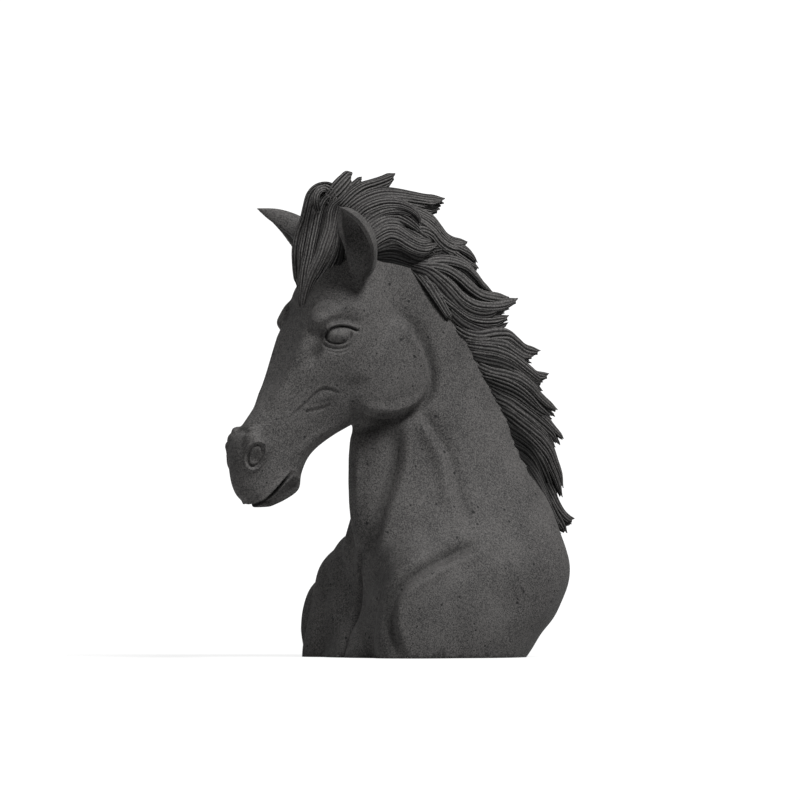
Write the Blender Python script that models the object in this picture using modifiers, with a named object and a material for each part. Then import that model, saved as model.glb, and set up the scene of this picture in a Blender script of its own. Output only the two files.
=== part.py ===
"""The knight of a large chess set: a horse's head, neck and chest cast in one piece of stone.

The bust faces -Y and stands on its flat underside, whose middle is the origin. Lengths in the
tables are hundredths of the bust's height, and a point of the side view is (y, z). Both sides are
alike but for the hair, so the tables give the left side, at +X.
"""

import math

import bmesh
import bpy
import numpy as np
from mathutils import Matrix

BUST_HEIGHT = 0.609
SHARE = BUST_HEIGHT / 100
GRAIN = 0.36 * SHARE
FACES_KEPT = 0.0244
FACE_CARE = 0.03

STONE_COLOUR = (0.045, 0.042, 0.041, 1.0)
STONE_ROUGHNESS = 0.85

# Sections of the neck and chest, from below the cut to the poll:
# front (y, z), back (y, z), half width, squareness of the front and of the back.
TRUNK = (
    (-20.6, -5.0, 16.0, -5.0, 20.0, 2.3, 2.0),
    (-19.9, 0.0, 20.9, 0.0, 21.0, 2.3, 2.0),
    (-18.4, 5.0, 24.5, 4.6, 21.2, 2.4, 2.0),
    (-15.8, 10.0, 28.6, 9.2, 21.2, 2.5, 2.0),
    (-15.4, 19.0, 32.3, 17.5, 20.4, 2.6, 2.0),
    (-16.4, 27.0, 30.6, 26.7, 16.2, 1.9, 2.0),
    (-17.3, 36.0, 26.0, 37.4, 12.0, 1.5, 2.2),
    (-17.4, 45.0, 22.0, 48.0, 9.2, 1.45, 2.4),
    (-16.2, 53.8, 14.8, 60.6, 7.4, 1.6, 2.6),
    (-16.4, 59.5, 7.6, 69.0, 6.9, 1.9, 2.8),
    (-19.3, 63.7, 1.2, 75.6, 6.8, 2.0, 2.8),
    (-22.4, 67.8, -7.0, 84.6, 6.4, 2.0, 2.6),
    (-25.5, 74.0, -18.0, 89.0, 5.6, 2.0, 2.0),
)

# Sections of the head, from the poll to the lips: brow side (y, z), jaw side (y, z),
# half width, how far the width leans to the brow side, squareness of the brow side.
HEAD = (
    (-21.8, 86.5, -9.0, 80.0, 5.6, 0.0, 2.2),
    (-27.2, 77.8, -5.8, 69.0, 7.9, 0.16, 2.8),
    (-29.2, 73.6, -4.4, 63.4, 8.7, 0.18, 3.2),
    (-30.4, 69.4, -4.8, 57.6, 8.8, 0.20, 3.4),
    (-32.8, 63.2, -9.4, 51.6, 7.7, 0.16, 3.4),
    (-35.7, 57.1, -17.8, 47.6, 5.9, 0.08, 3.2),
    (-38.8, 52.4, -23.4, 44.8, 4.9, 0.04, 3.0),
    (-42.6, 47.8, -28.0, 41.3, 4.4, 0.0, 2.8),
    (-45.4, 44.2, -29.9, 37.6, 4.5, 0.0, 2.6),
    (-46.0, 39.0, -30.5, 34.4, 4.3, 0.0, 2.5),
    (-44.8, 33.8, -33.6, 32.4, 3.4, 0.0, 2.3),
    (-41.6, 30.8, -37.0, 30.9, 1.6, 0.0, 2.0),
)

# Rounded masses of flesh: middle (x, y, z), radii, turn about X in degrees.
MASSES = {
    "shoulder blade": ((12.6, 0.0, 6.0), (9.6, 15.0, 17.6), 8.0),
    "point of shoulder": ((14.4, -9.4, 2.0), (7.6, 10.2, 21.0), 0.0),
    "breast": ((8.0, -9.2, 6.0), (8.6, 8.8, 14.0), 0.0),
    "collar": ((10.4, -8.6, 15.0), (6.6, 7.4, 11.0), 0.0),
    "brow": ((6.7, -26.4, 69.4), (3.1, 4.6, 4.8), 0.0),
    "jowl": ((5.6, -12.8, 59.8), (4.0, 11.2, 11.0), 0.0),
    "nostril": ((3.2, -42.0, 43.2), (1.9, 2.6, 4.0), 20.0),
    "chin": ((1.6, -35.0, 35.4), (2.0, 3.8, 2.7), 20.0),
}

# Lines and swellings are given as they show in a view THREE_QUARTER degrees round from the front:
# across is x * cos + y * sin of that angle, and up is z. Both sides of the bust get them.
THREE_QUARTER = 58.0

# Carved lines: points (across, up), half width, depth, lift. A negative depth is a ridge, and
# lift raises the skin on the left of the line above the skin on its right.
LINES = {
    "ridge of the windpipe": (
        ((-13.4, 50.0), (-13.4, 38.4), (-13.4, 26.5), (-12.9, 19.9), (-12.3, 13.8)), 0.7, -0.5, 0.0,
    ),
    "jugular groove": (
        ((-4.4, 49.6), (-4.9, 44.6), (-5.5, 38.8), (-7.0, 33.9), (-8.4, 30.0), (-10.4, 23.0),
         (-11.9, 16.4)),
        1.5, 1.2, 0.5,
    ),
    "neck muscle": (
        ((-0.6, 50.6), (1.3, 47.4), (5.2, 40.9), (7.3, 33.1), (8.4, 29.0), (8.4, 23.6)),
        1.3, 0.6, -0.35,
    ),
    "band of the neck muscle": (
        ((-1.1, 49.6), (2.4, 42.6), (4.2, 36.0), (5.2, 29.0)), 1.3, -0.4, 0.0,
    ),
    "front of the shoulder": (
        ((14.0, 24.6), (10.7, 22.6), (6.0, 20.8), (0.8, 17.9), (-2.4, 16.0), (-4.9, 13.6),
         (-6.2, 10.6), (-6.2, 6.4), (-5.1, 2.6), (-3.0, -4.0)),
        1.3, 1.0, 0.7,
    ),
    "back of the shoulder": (
        ((13.4, 23.6), (15.4, 21.4), (17.1, 19.4), (18.0, 15.8), (18.6, 11.1), (18.0, 7.0)), 1.5, 0.6, 0.0,
    ),
    "edge of the cheek": (
        ((-15.4, 51.2), (-11.7, 50.2), (-7.6, 49.7), (-4.0, 50.3), (-1.4, 51.6), (0.4, 53.4),
         (1.4, 56.1), (1.2, 59.6), (0.3, 62.4), (-1.2, 65.5), (-3.6, 68.6), (-7.0, 72.0)),
        0.9, 0.7, 0.9,
    ),
    "brow": (
        ((-22.6, 66.0), (-21.6, 67.8), (-20.4, 69.4), (-18.8, 70.6), (-17.0, 71.4), (-15.0, 71.9),
         (-13.3, 71.3), (-12.0, 69.8), (-11.4, 67.6)),
        1.2, -0.4, 0.0,
    ),
    "upper eyelid": (
        ((-20.8, 64.0), (-19.1, 66.8), (-17.2, 67.8), (-15.2, 67.6), (-12.4, 66.6)), 0.55, -0.8, 0.0,
    ),
    "lower eyelid": (
        ((-20.6, 64.8), (-18.9, 63.5), (-17.4, 63.2), (-15.8, 64.1), (-14.4, 66.2)), 0.55, -0.6, 0.0,
    ),
    "side of the nose": (
        ((-24.2, 69.4), (-25.8, 63.0), (-27.1, 58.5), (-29.3, 53.8), (-32.2, 48.2)), 1.1, -0.4, 0.0,
    ),
    "fold of the cheek": (
        ((-26.4, 48.6), (-23.4, 52.0), (-21.1, 54.5), (-19.5, 55.2), (-18.0, 55.0), (-15.4, 53.5)),
        0.5, 0.35, 0.0,
    ),
    "lower fold": (((-23.8, 50.1), (-21.5, 51.3), (-19.9, 51.5), (-17.8, 52.4)), 0.45, 0.3, 0.0),
    "crease above the nostril": (
        ((-38.4, 46.4), (-35.5, 45.6), (-33.6, 45.8), (-31.0, 43.6)), 0.7, 0.4, 0.0,
    ),
    "mouth": (
        ((-38.0, 31.7), (-36.0, 31.2), (-34.4, 31.4), (-32.5, 32.2), (-31.0, 33.4), (-29.4, 35.1),
         (-27.9, 36.8), (-26.0, 38.5)),
        0.5, 1.2, 0.6,
    ),
    "inset of the lower lip": (
        ((-34.4, 30.2), (-31.6, 31.0), (-29.2, 32.8), (-27.0, 35.0), (-25.2, 37.0)), 1.5, 0.9, 0.4,
    ),
}

# Soft swellings and hollows: middle (across, up), radii, turn of the first radius in degrees
# above the horizontal, height.
SWELLINGS = {
    "eye socket": ((-17.6, 65.8), (4.4, 3.2), 18.0, -1.5),
    "eye": ((-17.4, 65.9), (2.4, 1.5), 10.0, 1.5),
    "hollow before the eye": ((-22.4, 63.4), (3.8, 1.5), 65.0, -0.8),
    "hollow of the cheek": ((-13.6, 56.0), (3.4, 2.0), 10.0, -0.35),
    "cheek muscle": ((-19.4, 53.2), (2.6, 1.2), 30.0, 0.4),
    "throat under the jaw": ((-10.6, 47.2), (2.8, 1.3), 15.0, -1.0),
    "temple": ((-14.0, 75.6), (3.4, 1.6), 0.0, -0.25),
    "flare of the nostril": ((-34.2, 41.4), (3.2, 2.4), 70.0, 0.6),
    "nostril": ((-34.2, 41.1), (1.7, 1.0), 70.0, -1.6),
}

# Where the face keeps its finest faces: middle (x, y, z), reach.
FACE = (
    (np.array((9.0, -25.2, 66.8)), np.array((3.0, 5.0, 3.6))),
    (np.array((4.4, -42.6, 41.6)), np.array((3.0, 3.0, 4.0))),
    (np.array((2.6, -38.0, 33.4)), np.array((3.0, 5.0, 3.0))),
)

# The hair's core along the crest: inner (y, z), outer (y, z), half width.
MANE_CORE = (
    (-23.5, 84.0, -22.0, 94.6, 4.8),
    (-17.0, 83.0, -15.0, 95.4, 5.6),
    (-11.0, 79.0, -2.0, 90.4, 6.2),
    (-5.0, 72.0, 7.0, 79.5, 6.2),
    (2.0, 65.0, 15.4, 67.4, 6.0),
    (8.0, 57.0, 22.4, 59.0, 6.0),
    (13.0, 49.0, 27.0, 50.0, 6.2),
    (18.0, 40.0, 29.8, 41.0, 6.0),
    (24.0, 31.0, 31.4, 32.0, 4.8),
    (28.0, 25.0, 31.4, 27.0, 2.8),
)

# Locks of the mane: points (across, up), how far out from the middle the root and the tip lie,
# and the width.
LOCKS = (
    (((-17.8, 94.5), (-16.8, 95.9), (-15.6, 97.5), (-14.6, 99.4)), 1.0, 0.7, 4.4),
    (((-16.4, 92.6), (-13.9, 94.9), (-10.2, 96.5), (-6.1, 98.4)), 2.4, 1.2, 3.8),
    (((-15.8, 91.2), (-11.3, 94.0), (-5.1, 94.5), (-0.6, 93.8), (3.7, 93.2)), 4.2, 1.8, 5.2),
    (((-13.5, 88.9), (-9.4, 91.6), (-5.5, 92.6), (-2.2, 91.0), (-0.4, 88.5)), 5.2, 5.6, 4.2),
    (((-11.7, 86.0), (-8.4, 88.7), (-5.5, 88.7), (-2.2, 86.4), (1.5, 84.4)), 6.0, 5.8, 4.6),
    (((-10.0, 83.6), (-6.8, 85.0), (-3.9, 84.2), (-1.0, 82.8), (2.1, 82.8)), 6.0, 5.4, 4.0),
    (((-9.2, 81.5), (-5.5, 81.3), (-1.0, 80.1)), 5.6, 5.2, 3.4),
    (((-3.9, 91.8), (0.2, 90.1), (3.1, 87.3), (5.2, 85.0), (8.7, 84.8)), 4.6, 2.2, 4.6),
    (((-6.3, 89.3), (-2.2, 87.7), (1.5, 84.8), (4.3, 82.8)), 5.0, 3.6, 4.8),
    (((3.1, 84.4), (6.8, 83.2), (9.7, 81.5), (11.3, 79.7)), 4.0, 1.8, 4.2),
    (((0.2, 80.9), (4.7, 80.7), (8.9, 78.4), (11.7, 75.8), (14.0, 74.3)), 5.0, 1.4, 5.0),
    (((-1.6, 80.1), (3.5, 78.4), (7.6, 74.5), (10.9, 72.7), (14.6, 72.5), (19.1, 73.1)), 5.8, 2.0, 5.6),
    (((-2.0, 79.3), (1.9, 76.2), (6.2, 71.9), (9.7, 69.8), (13.4, 69.6), (17.5, 69.6)), 6.2, 2.8, 5.2),
    (((-2.6, 79.5), (1.3, 75.6), (3.9, 72.1), (6.2, 68.8)), 6.4, 6.2, 3.0),
    (((6.0, 70.0), (8.9, 68.0), (12.6, 66.9), (17.1, 68.0)), 6.0, 3.0, 3.6),
    (((7.2, 67.1), (11.7, 65.7), (15.8, 65.7), (19.1, 64.3), (23.6, 62.4)), 5.0, 2.0, 4.8),
    (((9.3, 63.4), (14.2, 62.6), (18.5, 60.4), (22.0, 58.1), (25.5, 57.3)), 5.2, 2.0, 5.0),
    (((10.5, 60.6), (15.4, 59.1), (20.4, 56.5), (24.1, 54.0), (27.3, 50.7)), 5.4, 2.0, 5.0),
    (((12.8, 56.3), (17.5, 54.6), (22.0, 51.1), (25.9, 47.8), (28.8, 44.8)), 6.0, 1.8, 5.0),
    (((14.4, 52.6), (18.9, 49.9), (23.2, 46.4), (26.7, 42.5)), 6.2, 2.4, 5.0),
    (((15.8, 50.1), (20.4, 46.6), (24.7, 42.9), (27.1, 38.8), (28.8, 33.9)), 6.4, 2.0, 5.4),
    (((17.5, 46.2), (21.6, 42.9), (24.5, 38.4), (26.9, 32.6)), 6.8, 3.0, 4.8),
    (((19.3, 42.1), (22.4, 38.4), (25.1, 33.9), (27.3, 29.8), (31.2, 27.9)), 7.0, 0.4, 4.4),
    (((21.2, 38.4), (23.6, 34.3), (26.1, 29.8), (28.8, 25.3)), 7.0, 2.2, 4.2),
)
FAR_SIDE_DROP = 2.2
BELLY = 0.9
CREST_LOCKS = slice(2, None, 2)

# Locks of the forelock: points (across, up), how far out the root and the tip lie, and the width.
FORELOCK_LOCKS = (
    (((-21.4, 96.0), (-23.0, 91.0), (-24.8, 86.0), (-25.1, 81.0), (-24.6, 76.4), (-24.8, 71.9)),
     -1.2, 0.6, 3.0),
    (((-20.4, 96.2), (-20.8, 91.0), (-22.6, 86.4), (-23.6, 81.6), (-23.6, 77.2), (-24.4, 72.6)),
     1.4, 1.0, 2.8),
    (((-18.8, 95.0), (-19.0, 90.4), (-20.2, 86.0), (-21.8, 81.6), (-22.8, 77.4), (-24.2, 73.4)),
     3.2, 1.4, 2.8),
    (((-17.8, 93.0), (-17.8, 88.4), (-18.4, 84.0), (-19.8, 80.0), (-21.6, 76.6), (-23.8, 74.0)),
     4.4, 2.0, 2.8),
    (((-20.6, 95.0), (-23.8, 90.0), (-25.4, 84.0), (-25.2, 78.0)), -4.2, -3.4, 3.4),
)
MANE_FACES = (1.0, 0.3, 0.1)
FORELOCK_FACES = (0.45, -0.85, 0.15)

# Sections of the forelock, from the top down: front (y, z), back (y, z), half width, middle x.
FORELOCK = (
    (-19.5, 97.4, -17.0, 92.0, 2.6, 0.0),
    (-23.4, 97.2, -18.5, 90.0, 4.2, 0.0),
    (-26.2, 94.0, -19.0, 87.0, 5.0, 0.0),
    (-27.6, 89.0, -20.0, 84.0, 5.3, 0.0),
    (-28.4, 84.0, -22.5, 81.0, 5.2, 0.0),
    (-28.9, 79.6, -24.8, 77.8, 4.2, 0.2),
    (-29.5, 75.6, -27.2, 74.6, 2.7, 0.5),
    (-30.2, 72.0, -29.0, 71.6, 1.0, 0.8),
)

EAR_AXIS = ((8.4, -21.6, 76.0), (12.3, -21.2, 84.5), (16.3, -30.3, 92.1))
EAR_HALF_WIDTH = 3.9
EAR_WALL = 1.4
EAR_DEPTH = 1.4
EAR_OPENS = (0.72, -0.64, 0.12)


def smooth_rows(rows, steps):
    """Rows of a table joined by a Catmull-Rom spline, with steps rows for each span."""
    table = np.array(rows, float)
    padded = np.vstack([2 * table[0] - table[1], table, 2 * table[-1] - table[-2]])
    out = []
    for k in range(len(table) - 1):
        a, b, c, d = padded[k : k + 4]
        for t in np.arange(steps) / steps:
            out.append(
                0.5 * (2 * b + (c - a) * t + (2 * a - 5 * b + 4 * c - d) * t**2
                       + (3 * b - a - 3 * c + d) * t**3)
            )
    return np.array(out + [table[-1]])


def tube(rings):
    """A closed mesh over rings of points, with a flat cap on each end."""
    count, around = len(rings), len(rings[0])
    mesh = bpy.data.meshes.new("form")
    faces = [
        (k * around + i, k * around + (i + 1) % around,
         (k + 1) * around + (i + 1) % around, (k + 1) * around + i)
        for k in range(count - 1)
        for i in range(around)
    ]
    faces.append(tuple(range(around))[::-1])
    faces.append(tuple((count - 1) * around + i for i in range(around)))
    mesh.from_pydata([tuple(p) for ring in rings for p in ring], [], faces)
    return mesh


def oval(front, back, half_width, lean=0.0, square_front=2.0, square_back=2.0, middle=0.0):
    """A ring in the plane through front and back: a superellipse whose widest place can lean."""
    front, back = np.array(front), np.array(back)
    angle = np.arange(40) * 2 * math.pi / 40
    along, across = np.cos(angle), np.sin(angle)
    power = np.where(along > 0, 2 / square_front, 2 / square_back)
    depth = np.sign(along) * np.abs(along) ** power
    width = np.sign(across) * np.abs(across) ** power * (1 + lean * depth)
    side = (front + back) / 2 + depth[:, None] * (front - back) / 2
    return np.column_stack([middle + width * half_width, side])


def trunk():
    rows = smooth_rows(TRUNK, 5)
    return tube([oval(r[0:2], r[2:4], r[4], -0.06, r[5], r[6]) for r in rows])


def head():
    rows = smooth_rows(HEAD, 5)
    return tube([oval(r[0:2], r[2:4], r[4], r[5], r[6], 2.3) for r in rows])


def mane_core():
    rows = smooth_rows(MANE_CORE, 4)
    return tube([oval(r[0:2], r[2:4], r[4], 0.2) for r in rows])


def forelock():
    rows = smooth_rows(FORELOCK, 4)
    return tube([oval(r[0:2], r[2:4], r[4], 0.0, 2.4, 2.0, r[5]) for r in rows])


def mass(middle, radii, turn):
    """An ellipsoid of clay."""
    mesh = bpy.data.meshes.new("form")
    ball = bmesh.new()
    bmesh.ops.create_uvsphere(ball, u_segments=32, v_segments=18, radius=1.0)
    place = (
        Matrix.Translation(middle)
        @ Matrix.Rotation(math.radians(turn), 4, "X")
        @ Matrix.Diagonal((*radii, 1.0))
    )
    bmesh.ops.transform(ball, matrix=place, verts=ball.verts)
    ball.to_mesh(mesh)
    ball.free()
    return mesh


def lock(row, side, faces, belly):
    """One lock on side +1, -1 or 0 for the crest: a flat lens carried along its path to a blunt tip."""
    points, out_root, out_tip, width = row
    seen = smooth_rows(points, 5)
    t = np.linspace(0, 1, len(seen))
    out = out_root + (out_tip - out_root) * t**1.5 + belly * np.sin(math.pi * t)
    turn = math.radians(THREE_QUARTER)
    back = (seen[:, 0] - out * math.cos(turn)) / math.sin(turn)
    drop = FAR_SIDE_DROP * (1 - side) / 2
    path = np.column_stack([side * out, back - drop / 2, seen[:, 1] - drop])

    heading = np.gradient(path, axis=0)
    heading /= np.linalg.norm(heading, axis=1)[:, None]
    across = np.cross(heading, np.array(faces) * (side, 1, 1))
    across /= np.linalg.norm(across, axis=1)[:, None]
    outwards = np.cross(across, heading)
    swell = (0.62 + 0.38 * np.sin(math.pi * t) ** 0.8) * (1 - 0.5 * t**5)
    angle = np.arange(12) * 2 * math.pi / 12
    rings = [
        path[k]
        + np.outer(np.cos(angle), across[k]) * width * swell[k] / 2
        + np.outer(np.sin(angle), outwards[k]) * 0.6 * width * swell[k] / 2
        for k in range(len(path))
    ]
    return tube(rings)


def ear(side):
    """A cupped ear: crescents carried along a bowed axis to a point."""
    points = np.array(EAR_AXIS) * (side, 1, 1)
    t = np.linspace(0, 1, 18)
    axis = (
        ((1 - t) ** 2)[:, None] * points[0]
        + (2 * t * (1 - t))[:, None] * points[1]
        + (t**2)[:, None] * points[2]
    )
    heading = np.gradient(axis, axis=0)
    heading /= np.linalg.norm(heading, axis=1)[:, None]
    opens = np.array(EAR_OPENS) * (side, 1, 1)
    rings = []
    for k, share in enumerate(t):
        across = np.cross(opens, heading[k])
        across /= np.linalg.norm(across)
        towards = np.cross(heading[k], across)
        half = EAR_HALF_WIDTH * (0.8 + 0.5 * share) * math.sqrt(max(1 - share**2.0, 0.004))
        wrap = math.radians(118 - 34 * share)
        wall = min(EAR_WALL, half * 0.7)
        bend = np.linspace(-wrap, wrap, 14)
        outer = half * (
            np.outer(np.sin(bend), across) - EAR_DEPTH * np.outer(np.cos(bend), towards)
        )
        rings.append(np.vstack([axis[k] + outer, axis[k] + outer[::-1] * (half - wall) / half]))
    return tube(rings)


def joined(name, meshes):
    """One object in metres that holds all the forms, with their faces pointing outwards."""
    whole = bmesh.new()
    for mesh in meshes:
        form = bmesh.new()
        form.from_mesh(mesh)
        bmesh.ops.recalc_face_normals(form, faces=form.faces)
        form.to_mesh(mesh)
        form.free()
        whole.from_mesh(mesh)
        bpy.data.meshes.remove(mesh)
    bmesh.ops.scale(whole, vec=(SHARE, SHARE, SHARE), verts=whole.verts)
    mesh = bpy.data.meshes.new(name)
    whole.to_mesh(mesh)
    whole.free()
    return bpy.data.objects.new(name, mesh)


def fuse(obj, rounds):
    """Fuses the forms to one skin of square faces, and smooths where they meet."""
    skin = obj.modifiers.new("skin", "REMESH")
    skin.mode = "VOXEL"
    skin.voxel_size = GRAIN
    soften = obj.modifiers.new("soften", "SMOOTH")
    soften.factor = 0.5
    soften.iterations = rounds


def offset_along(points, line):
    """For each point: its distance from a line, how far left of it, and a fade at the ends."""
    distance = np.full(len(points), np.inf)
    leftwards = np.zeros(len(points))
    share = np.zeros(len(points))
    for k, (a, b) in enumerate(zip(line[:-1], line[1:])):
        run = b - a
        t = np.clip((points - a) @ run / (run @ run), 0, 1)
        off = points - a - t[:, None] * run
        far = np.linalg.norm(off, axis=1)
        left = off @ np.array((-run[1], run[0])) / np.linalg.norm(run)
        nearer = far < distance
        distance = np.where(nearer, far, distance)
        leftwards = np.where(nearer, left, leftwards)
        share = np.where(nearer, (k + t) / (len(line) - 1), share)
    fade = np.clip(7 * np.minimum(share, 1 - share), 0, 1)
    return distance, leftwards, fade * fade * (3 - 2 * fade)


def relief(seen):
    """How far the carved lines and the swellings raise the skin at points (across, up)."""
    rise = np.zeros(len(seen))
    for line, half_width, depth, lift in LINES.values():
        distance, leftwards, fade = offset_along(seen, smooth_rows(line, 4))
        near = (distance / half_width) ** 2
        rise -= depth * fade * np.exp(-near)
        rise += lift * fade * leftwards / half_width * np.exp(0.5 - 0.5 * near)
    for middle, radii, turn, height in SWELLINGS.values():
        c, s = math.cos(math.radians(turn)), math.sin(math.radians(turn))
        away = (seen - middle) @ np.array(((c, -s), (s, c))) / radii
        rise += height * np.exp(-(away**2).sum(axis=1))
    return rise


def carve(mesh):
    """Moves the skin that faces the three-quarter view of its side along its normals."""
    count = len(mesh.vertices)
    points = np.empty(count * 3)
    mesh.vertices.foreach_get("co", points)
    points = points.reshape(-1, 3)
    normals = np.empty(count * 3)
    mesh.vertex_normals.foreach_get("vector", normals)
    normals = normals.reshape(-1, 3)
    side = np.where(points[:, 0] < 0, -1.0, 1.0)
    c, s = math.cos(math.radians(THREE_QUARTER)), math.sin(math.radians(THREE_QUARTER))
    seen = np.column_stack([side * points[:, 0] * c + points[:, 1] * s, points[:, 2]])
    facing = np.clip((side * normals[:, 0] * s - normals[:, 1] * c) / 0.3, 0, 1)
    points += normals * (relief(seen) * facing)[:, None]
    mesh.vertices.foreach_set("co", points.ravel())
    mesh.update()


def shown(obj):
    """The mesh that the object's modifiers give."""
    bpy.context.scene.collection.objects.link(obj)
    graph = bpy.context.evaluated_depsgraph_get()
    mesh = bpy.data.meshes.new_from_object(obj.evaluated_get(graph))
    bpy.data.objects.remove(obj, do_unlink=True)
    return mesh


def clay_body():
    """The bare body without ears and hair, in hundredths of the height."""
    masses = [
        mass((side * middle[0], *middle[1:]), radii, turn)
        for middle, radii, turn in MASSES.values()
        for side in (1, -1)
    ]
    clay = joined("clay", [trunk(), head(), *masses])
    fuse(clay, 22)
    mesh = shown(clay)
    mesh.transform(Matrix.Diagonal((1 / SHARE, 1 / SHARE, 1 / SHARE, 1.0)))
    carve(mesh)
    return mesh


def mark_face(bust):
    """A group that tells how much each point matters: the eyes, nostrils and mouth matter most."""
    group = bust.vertex_groups.new(name="face")
    for vertex in bust.data.vertices:
        here = np.array((abs(vertex.co.x), vertex.co.y, vertex.co.z)) / SHARE
        near = max(math.exp(-(((here - at) / reach) ** 2).sum()) for at, reach in FACE)
        if near > 0.02:
            group.add([vertex.index], near, "REPLACE")


def stone():
    material = bpy.data.materials.new("charcoal cast stone")
    material.use_nodes = True
    shader = material.node_tree.nodes["Principled BSDF"]
    shader.inputs["Base Color"].default_value = STONE_COLOUR
    shader.inputs["Roughness"].default_value = STONE_ROUGHNESS
    return material


def block_below(cutters):
    """A block that takes away everything below the underside."""
    mesh = bpy.data.meshes.new("below the cut")
    cube = bmesh.new()
    bmesh.ops.create_cube(cube, size=1.0)
    bmesh.ops.scale(cube, vec=(BUST_HEIGHT,) * 3, verts=cube.verts)
    bmesh.ops.translate(cube, vec=(0, 0, -BUST_HEIGHT / 2), verts=cube.verts)
    cube.to_mesh(mesh)
    cube.free()
    block = bpy.data.objects.new("below the cut", mesh)
    block.hide_render = True
    block.display_type = "WIRE"
    cutters.objects.link(block)
    return block


def build():
    for old in list(bpy.data.objects):
        bpy.data.objects.remove(old, do_unlink=True)
    bust_parts = bpy.data.collections.new("chess knight bust")
    cutters = bpy.data.collections.new("cutters")
    for collection in (bust_parts, cutters):
        bpy.context.scene.collection.children.link(collection)

    hair = [lock(row, side, MANE_FACES, BELLY) for row in LOCKS for side in (1, -1)]
    hair += [lock(row, 0, MANE_FACES, 0.0) for row in LOCKS[CREST_LOCKS]]
    hair += [lock(row, 1, FORELOCK_FACES, 0.0) for row in FORELOCK_LOCKS]
    forms = [clay_body(), mane_core(), forelock(), ear(1), ear(-1), *hair]
    rough = joined("rough cast", forms)
    fuse(rough, 1)
    bust = bpy.data.objects.new("knight_bust", shown(rough))
    bust_parts.objects.link(bust)
    mark_face(bust)
    fewer = bust.modifiers.new("fewer faces", "DECIMATE")
    fewer.ratio = FACES_KEPT
    fewer.vertex_group = "face"
    fewer.invert_vertex_group = True
    fewer.vertex_group_factor = FACE_CARE
    cut = bust.modifiers.new("flat underside", "BOOLEAN")
    cut.operation = "DIFFERENCE"
    cut.solver = "EXACT"
    cut.object = block_below(cutters)
    bust.data.materials.append(stone())


build()
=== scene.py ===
# %% [markdown]
# This is the knight of a large chess set: a horse's head, neck and chest, cast in one piece of
# charcoal stone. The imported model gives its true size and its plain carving. This lesson carves the
# same clay again at a much finer grain, lays the mane on it lock by lock, and gives it a stone skin.
# The frame is loaded first, so that every later step can be held against it.

# %% Load the frame
import math

import bmesh
import bpy
import numpy as np
from mathutils.bvhtree import BVHTree
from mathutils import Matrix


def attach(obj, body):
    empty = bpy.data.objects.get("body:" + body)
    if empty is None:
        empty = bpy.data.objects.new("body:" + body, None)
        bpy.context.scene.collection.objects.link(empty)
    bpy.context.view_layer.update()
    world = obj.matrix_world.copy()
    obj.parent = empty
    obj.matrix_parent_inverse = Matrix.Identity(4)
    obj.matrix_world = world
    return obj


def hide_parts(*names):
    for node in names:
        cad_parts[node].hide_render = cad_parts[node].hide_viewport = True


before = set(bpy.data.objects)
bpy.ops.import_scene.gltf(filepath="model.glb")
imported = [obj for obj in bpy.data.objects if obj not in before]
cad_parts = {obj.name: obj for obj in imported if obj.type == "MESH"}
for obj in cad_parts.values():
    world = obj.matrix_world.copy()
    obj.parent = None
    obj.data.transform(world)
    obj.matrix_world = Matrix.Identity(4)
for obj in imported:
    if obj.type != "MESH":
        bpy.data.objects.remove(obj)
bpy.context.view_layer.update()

BUST_HEIGHT = 0.609
SHARE = BUST_HEIGHT / 100

# %% [markdown]
# Sculptors give a pose by a few sections and let the eye run between them. A Catmull-Rom curve does
# the same: it passes through every row of a table and takes its slope from the two neighbours. The
# tables below are in hundredths of the bust's height, or in thousandths where they say so, and the
# left side, at +X, is the one given.

# %% Curves through rows
def spline(rows, steps):
    """Rows joined by cubics: between rows b and c the slope at b is (c - a) / 2, at c (d - b) / 2."""
    table = np.array(rows, float)
    padded = np.vstack([2 * table[0] - table[1], table, 2 * table[-1] - table[-2]])
    a, b, c, d = (padded[k : len(padded) - 3 + k, None] for k in range(4))
    t = (np.arange(steps) / steps)[None, :, None]
    inside = 0.5 * (2 * b + (c - a) * t + (2 * a - 5 * b + 4 * c - d) * t**2
                    + (3 * b - a - 3 * c + d) * t**3)
    return np.vstack([inside.reshape(-1, table.shape[1]), table[-1:]])


def unit(vectors):
    return vectors / np.linalg.norm(vectors, axis=-1, keepdims=True)


def ramp(values, low, high):
    """0 below low, 1 above high, and 3 t^2 - 2 t^3 between."""
    t = np.clip((values - low) / (high - low), 0, 1)
    return t * t * (3 - 2 * t)


# %% [markdown]
# Every form here is a surface over a grid of two parameters: one runs along the form, the other
# round it. One helper turns any number of such grids into a single mesh. Rings are joined by quads,
# and each end is closed by a fan to its middle, so every form is a closed body.

# %% From grids to a mesh
def mesh_of(name, grids):
    """Quads join ring k to ring k + 1 and point i to i + 1; fans close the first and last ring."""
    points, quads, fans, start = [], [], [], 0
    for grid in grids:
        rings, around = grid.shape[:2]
        index = start + np.arange(rings * around).reshape(rings, around)
        ahead = np.roll(index, -1, axis=1)
        quads.append(np.stack([index[:-1], ahead[:-1], ahead[1:], index[1:]], -1).reshape(-1, 4))
        first, last = start + rings * around, start + rings * around + 1
        fans.append(np.stack([ahead[0], index[0], np.full(around, first)], -1))
        fans.append(np.stack([index[-1], ahead[-1], np.full(around, last)], -1))
        points += [grid.reshape(-1, 3), grid[0].mean(0)[None], grid[-1].mean(0)[None]]
        start = last + 1
    mesh = bpy.data.meshes.new(name)
    faces = np.vstack(quads).tolist() + np.vstack(fans).tolist()
    mesh.from_pydata((np.vstack(points) * SHARE).tolist(), [], faces)
    tidy = bmesh.new()
    tidy.from_mesh(mesh)
    bmesh.ops.recalc_face_normals(tidy, faces=tidy.faces)
    tidy.to_mesh(mesh)
    tidy.free()
    return mesh


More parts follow.
